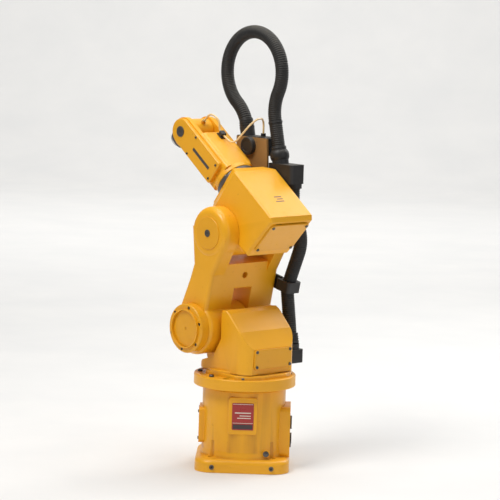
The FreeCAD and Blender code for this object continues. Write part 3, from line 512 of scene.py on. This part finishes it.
# ------------------------------------------------------------------ hose pack
HR = 0.017
TILT = radians(13)
lt = Vector((sin(TILT), 0, cos(TILT)))
XR, XL, LY = -6.0, 118.0, -97.0
PR, PL = Vector((XR, LY, 764.0)), Vector((XL, LY, 826.0))
lower_pts = Pa("A", [(-40, -120, 290.2), (-30, -123, 350)]) + [P("U", -68, -126, 107)]
mid_pts = [P("U", -68, -126, 116.5)] + Pa("A", [(-64, -128, 572), (-50, -102, 652), (-50, -102, 703.5)])
lo_h = conduit("lower_hose_skin", corner_path(lower_pts), HR, 0.0052, None)
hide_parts("lower_hoses")
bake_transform(lo_h)
mi_h = conduit("mid_hose_skin", corner_path(mid_pts), HR, 0.0052, None)
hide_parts("mid_hose")
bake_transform(mi_h)

# loop: same lines and arcs as the solid
R3 = 102.0
dx, dz = XL - XR, PL.z - PR.z
half = (dx * cos(TILT) - dz * sin(TILT)) / 2
rise = dx * sin(TILT) + dz * cos(TILT)
ph = acos((half + R3) / (2 * R3))
H0 = rise + 22.0
def lp(x, h):
    return Vector((XR + (x + half) * cos(TILT) + h * sin(TILT), LY, PR.z - (x + half) * sin(TILT) + h * cos(TILT)))
pts = []
def seg(a, b, n):
    for i in range(n):
        f = i / n
        pts.append(lp(a[0] + (b[0] - a[0]) * f, a[1] + (b[1] - a[1]) * f))
def arc(cx, ch, a0, a1, n):
    for i in range(n):
        a = a0 + (a1 - a0) * i / n
        pts.append(lp(cx + R3 * cos(a), ch + R3 * sin(a)))
seg((-half, -7.8), (-half, H0), 60)
arc(-half - R3, H0, 0, ph, 40)
arc(0, H0 + 2 * R3 * sin(ph), pi + ph, -ph, 160)
arc(half + R3, H0, pi - ph, pi, 40)
seg((half, H0), (half, rise - 7.8), 12)
pts.append(lp(half, rise - 7.8))
loop_path = [P("A", *p) for p in pts]
loop_o = conduit("hose_loop_skin", loop_path, HR, 0.0052, "elbow")
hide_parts("hose_loop")

# cuffs where the hoses are clamped
def cuff(name, pos, axis, body, r=20.5, l=26.0):
    prof = [(0, r - 2.5), (0, r), (6, r + 0.6), (6.5, r - 1.4), (8.5, r - 1.4), (9, r + 0.2), (12, r + 0.2), (12.5, r - 1.4), (14.5, r - 1.4),
            (15, r - 0.2), (18, r - 0.4), (18.5, r - 1.8), (20.5, r - 1.8), (21, r - 0.8), (l, r - 1.6), (l, 16.6)]
    return lathe(name, prof, pos, axis, "black_plastic", body, 48, radians(28))
ltw = MA.to_3x3() @ lt
cuff("cuff_loop_rear", P("A", *(PR + lt * 16)), ltw, "elbow")
cuff("cuff_loop_front", P("A", *(PL + lt * 16)), ltw, "elbow", 19.0)
cuff("cuff_gland", P("A", -39.1, -120.25, 306), (P("A", -30, -123, 350) - P("A", -40, -120, 290)).normalized(), "turret")

# thin air tube
ta = [P("A", 64, -100, 830), P("A", 64, -100, 872), P("F", 176, -40, 216), P("F", 172, -10, 136), P("F", 213.5, -10, 130.5)]
fa = radians(155)
tb = [P("F", 213.9, -10, 130.5), P("F", 234, -10, 130.5), P("F", 249, -9, 151), P("F", 280, -1, 150), P("W", 40.2 * cos(fa), 0, 40.2 * sin(fa))]
t1 = sweep("air_tube_a_skin", corner_path(ta, 0.001), lambda i, s: 0.0025, "air_tube", None, 16)
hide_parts("air_tube_a")
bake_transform(t1)
t2 = sweep("air_tube_b_skin", corner_path(tb, 0.001), lambda i, s: 0.0025, "air_tube", None, 16)
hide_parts("air_tube_b")
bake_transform(t2)


# ------------------------------------------------------------------ round parts of the hose pack
def disc_stack(name, prof, fr, pos, axis, mat, body, segs=56):
    d = (FR[fr].to_3x3() @ Vector(axis)).normalized()
    return lathe(name, prof, P(fr, *pos), d, mat, body, segs, radians(28))

# round coupling on the face of the junction block, with a ribbed nut and a cap
disc_stack("junction_coupling", [(0, 22), (0, 23.5), (3, 23.5), (3.5, 21.5), (5, 21.5), (5.6, 23), (12, 23), (12.6, 21.8), (13.4, 21.8), (14, 22.6), (17, 22.2), (18, 20.5), (18, 16), (16.8, 15), (16.8, 0)],
           "A", (84, -78.0, 802), (0, 1, 0), "black_plastic", "elbow")
# knuckle where the rear hose enters the elbow
disc_stack("inlet_knuckle", [(0, 17.0), (0, 21.5), (4, 23.5), (9, 24.5), (15, 24.5), (20, 23.5), (24, 21.0), (25, 18.5), (25, 16.6)],
           "A", (-4.2, LY, 771.5), (sin(TILT), 0, cos(TILT)), "black_plastic", "elbow")

def tie(name, pos, axis, body, r=18.2):
    a = Vector(axis).normalized()
    n = a.orthogonal().normalized(); b = a.cross(n)
    verts, faces = [], []
    sec = [(-2.3, 0), (2.3, 0), (2.3, 1.2), (-2.3, 1.2)]
    for j in range(40):
        g_ = 2 * pi * j / 40
        for h, q in sec:
            verts.append(pos + a * (h / 1000) + (n * cos(g_) + b * sin(g_)) * ((r + q) / 1000))
    for j in range(40):
        k = (j + 1) % 40
        for m in range(4):
            l = (m + 1) % 4
            faces.append((j * 4 + m, j * 4 + l, k * 4 + l, k * 4 + m))
    return add_mesh(name, verts, faces, "black_plastic", body, True, None, radians(40))
for i, (x, h) in enumerate(((-half, H0 - 6), (half, H0 - 2))):
    c = P("A", *lp(x, h))
    tie("loop_tie_%d" % i, c, ltw, "elbow", 17.0)

# ------------------------------------------------------------------ generic label on the base, marks on the elbow
def plate_quads(name, fr, rects, plane, mat, body, th=0.25):
    """thin raised print areas lying on a flat face; plane gives (axis letter, value, side)"""
    ax, val, side = plane
    obs = []
    for i, (u0, u1, v0, v1) in enumerate(rects):
        lo, hi = sorted((val, val + side * th))
        if ax == "y":
            o = slab("%s_%d" % (name, i), fr, (u0, u1), (lo, hi), (v0, v1), mat, body, 0.1, 1)
        elif ax == "z":
            o = slab("%s_%d" % (name, i), fr, (u0, u1), (v0, v1), (lo, hi), mat, body, 0.1, 1)
        else:
            o = slab("%s_%d" % (name, i), fr, (lo, hi), (u0, u1), (v0, v1), mat, body, 0.1, 1)
        obs.append(o)
    return obs
plate_quads("label_foot", "R", [(-24.5, 24.5, 110.5, 122.0)], ("y", 107.5, 1), "label_dark", "base", 0.35)
plate_quads("label_bars", "R", [(-20, 20, 150, 152.5), (-20, 8, 143, 145), (-20, 14, 137, 139)], ("y", 107.5, 1), "label_pale", "base", 0.3)
plate_quads("label_frame", "R", [(-25.2, 25.2, 172.6, 173.8), (-25.2, 25.2, 125.0, 126.0)], ("y", 107.5, 1), "label_pale", "base", 0.3)
plate_quads("elbow_mark_lines", "F", [(-56, -53, -14, 14), (-48, -45, -14, 6), (-40, -37, -14, 10)], ("z", 150.0, 1), "label_dark", "elbow", 0.3)

# ------------------------------------------------------------------ dark groove panels: forearm slot strip (painted shade of the groove on the forearm's side) and spot at J5
# painted shade: a thin dark strip laid where the side groove's shade falls on the forearm
slab("forearm_groove_shade", "F", (150, 226), (55.2, 56.2), (74, 82), "dark_metal", "forearm", 0.4, 2)
lathe("j5_spot", [(0, 13), (0.4, 13.6), (2.2, 13.6), (3.0, 12.4), (3.0, 5), (1.8, 4.2), (1.8, 0)], P("F", 290, 55.0, 80), MF.to_3x3() @ Vector((0, 1, 0)), "dark_metal", "forearm", 48, radians(28))
lathe("thumb_plug", [(0, 8.5), (0.3, 9.2), (1.6, 9.2), (2.2, 8.4), (2.2, 4), (1.2, 3.4), (1.2, 0)], P("U", 0, 119.0, 250), MU.to_3x3() @ Vector((0, 1, 0)), "dark_metal", "upper_arm", 40, radians(28))

# ------------------------------------------------------------------ front screws of the foot rim
for i, sx in enumerate((-80, 80)):
    lathe("foot_front_screw_%d" % i, [(-2, 6.0), (2.6, 6.0), (3.2, 5.4), (3.2, 3.2), (0.8, 3.0), (0.8, 0)], P("R", sx * 0.93, 118.0, 14), (0, 1, 0), "screw_steel", "base", 36, radians(28))
# ring of bolts on the turning disc, both sides of the hood
for k in range(8):
    g_ = 2 * pi * k / 8
    x, y = 113.0 * cos(g_), 113.0 * sin(g_)
    if x < -60 and abs(y) < 30:
        continue
    lathe("disc_bolt_%d" % k, [(-0.5, 6.2), (4.2, 6.2), (5.0, 5.5), (5.0, 3.1), (2.0, 3.0), (2.0, 0)], P("A", x, y, 236), (0, 0, 1), "screw_steel", "turret", 32, radians(28))

# ------------------------------------------------------------------ floor, light
def make_floor():
    me = bpy.data.meshes.new("floor")
    bm = bmesh.new()
    s, back, hgt, rad = 12.0, -9.5, 6.0, 2.5
    prof = [(9.0, 0.0), (back + rad, 0.0)]
    for i in range(1, 13):
        a = (pi / 2) * i / 12
        prof.append((back + rad - rad * sin(a), rad - rad * cos(a)))
    prof.append((back, hgt))
    rows = []
    for y, z in prof:
        rows.append([bm.verts.new((x, y, z - 0.0005)) for x in (-s, s)])
    for a, b in zip(rows, rows[1:]):
        f = bm.faces.new((a[0], a[1], b[1], b[0])); f.smooth = True
    bmesh.ops.recalc_face_normals(bm, faces=bm.faces)
    bm.to_mesh(me); bm.free()
    o = bpy.data.objects.new("floor", me)
    scene.collection.objects.link(o)
    m, t, b = nt("floor_mat")
    v = coords(t)
    c = mixc(t, maprange(t, tex(t, v, 3.0), 0.3, 0.7, 0.0, 1.0), (0.80, 0.79, 0.77, 1), (0.76, 0.755, 0.74, 1))
    t.links.new(c, b.inputs["Base Color"])
    b.inputs["Roughness"].default_value = 0.75
    me.materials.append(m)
    return o
make_floor()

def area(name, loc, target, size, power, col=(1, 1, 1)):
    l = bpy.data.lights.new(name, "AREA")
    l.shape = "RECTANGLE"; l.size, l.size_y = size
    l.energy = power; l.color = col
    o = bpy.data.objects.new(name, l)
    scene.collection.objects.link(o)
    o.location = loc
    o.rotation_mode = "QUATERNION"
    o.rotation_quaternion = (Vector(target) - Vector(loc)).to_track_quat("-Z", "Y")
    return o
area("key", (1.6, 1.6, 3.6), (0, 0, 0.5), (1.5, 1.5), 88, (1.0, 0.985, 0.96))
area("fill", (-2.8, 2.6, 1.6), (0, 0, 0.5), (2.2, 2.2), 15, (0.96, 0.98, 1.0))
area("top", (-0.3, -0.4, 3.2), (0, 0, 0.6), (2.2, 2.2), 55)
area("rim", (-1.8, -2.0, 2.2), (0, 0, 0.6), (1.2, 1.8), 30)
area("back_wash", (0, -4.6, 4.2), (0, -8.0, 0.4), (7.0, 3.0), 250)
wd = bpy.data.worlds.new("world"); scene.world = wd
wd.use_nodes = True
wd.node_tree.nodes["Background"].inputs[0].default_value = (0.93, 0.94, 0.96, 1)
wd.node_tree.nodes["Background"].inputs[1].default_value = 0.30
scene.view_settings.view_transform = "Standard"
